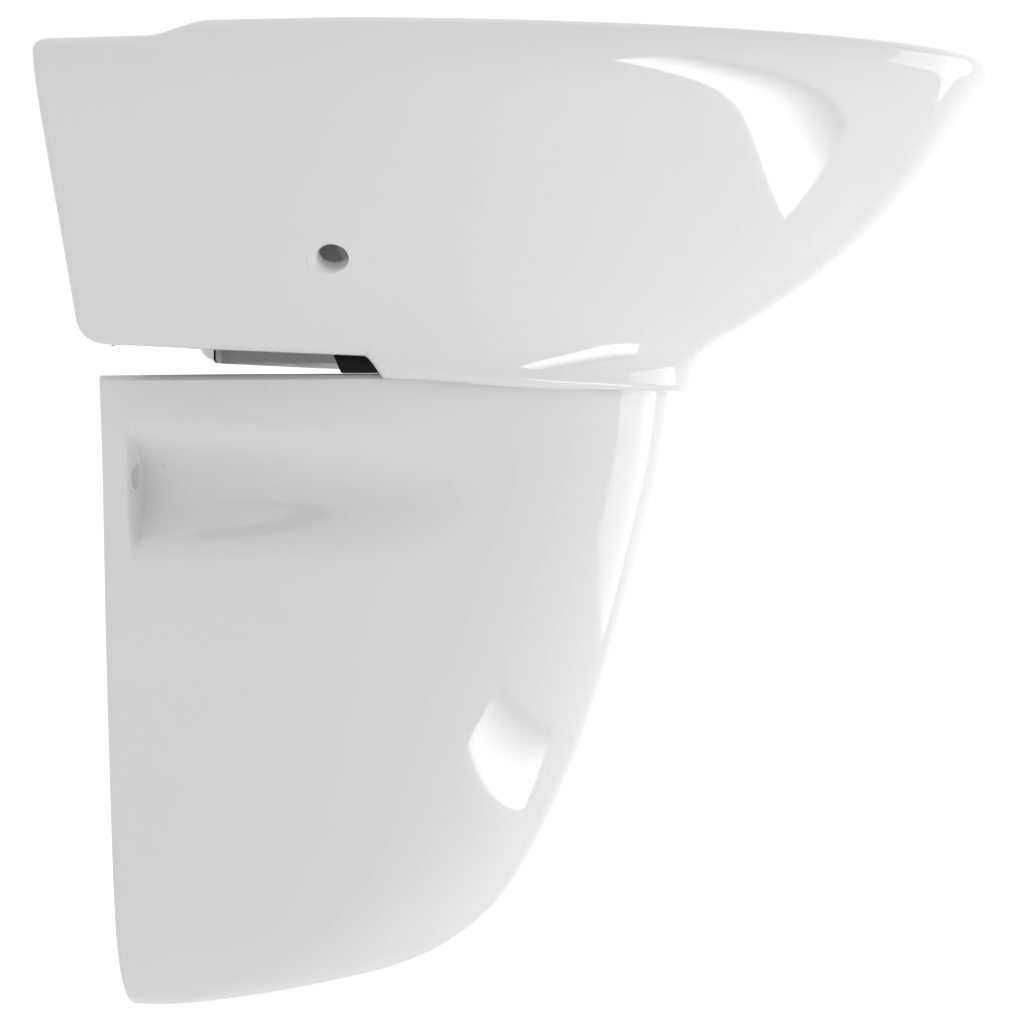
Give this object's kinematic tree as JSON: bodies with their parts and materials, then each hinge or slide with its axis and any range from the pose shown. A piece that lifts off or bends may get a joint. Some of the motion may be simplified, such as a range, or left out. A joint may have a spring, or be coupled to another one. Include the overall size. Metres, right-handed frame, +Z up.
{
  "type": "semi-pedestal washbasin",
  "caption": "Wall-hung wash basin with a tap ledge and rounded bowl, on a curved half pedestal that hides the pop-up waste and bottle trap.",
  "frame": {"origin": "on the basin's flat back face, midway between the two wall bolts; the bowl rim is 85 mm above it", "axes": "+X to the right as seen from the user's side facing the wall, +Y into the wall, +Z up; the basin reaches out along -Y"},
  "size_m": [0.5184, 0.45, 0.497],
  "materials": {
    "glaze": "glossy white glaze on vitreous china",
    "rubber": "matt black foam rubber",
    "chrome": "polished chrome plate",
    "steel": "zinc-plated or stainless steel, turned",
    "plastic": "white moulded polypropylene, satin",
    "seal": "dark moulded rubber"
  },
  "bodies": {
    "fixed": {"basin": "glaze", "semi_pedestal": "glaze", "buffer_pad_right": "rubber", "buffer_pad_left": "rubber", "overflow_ring": "chrome", "waste_flange_seal": "seal", "waste_body": "chrome", "waste_cone_seal": "seal", "waste_slip_washer": "plastic", "waste_back_nut": "chrome", "click_cartridge": "plastic", "trap_inlet_nut": "plastic", "trap_inlet_washer": "seal", "trap_inlet_pipe": "plastic", "trap_body_nut": "plastic", "trap_body_washer": "seal", "trap_body": "plastic", "trap_outlet_nut": "plastic", "trap_outlet_washer": "seal", "trap_outlet_pipe": "plastic", "wall_flange": "chrome", "wall_stud_right": "steel", "wall_sleeve_right": "plastic", "wall_washer_right": "steel", "wall_nut_right": "steel", "wall_stud_left": "steel", "wall_sleeve_left": "plastic", "wall_washer_left": "steel", "wall_nut_left": "steel"},
    "plug": {"plug_cap": "chrome", "plug_stem": "steel", "plug_seal": "seal"},
    "cup_seal_carrier": {"trap_cup_seal": "seal"},
    "trap_cup_body": {"trap_cup": "plastic"}
  },
  "joints": [
    {"name": "plug_lift", "type": "slide", "parent": "fixed", "child": "plug", "axis": [0, 0, 1], "range_m": [0, 0.009]},
    {"name": "cup_drop", "type": "slide", "parent": "fixed", "child": "cup_seal_carrier", "axis": [0, 0, -1], "range_m": [0, 0.0091]},
    {"name": "cup_turn", "type": "hinge", "parent": "cup_seal_carrier", "child": "trap_cup_body", "pos_m": [0, -0.195, -0.23], "axis": [0, 0, -1], "range_deg": [0, 1080]}
  ],
  "couplings": [
    {"joint": "cup_drop", "follows": "cup_turn", "m_per_rad": 0.000477}
  ]
}
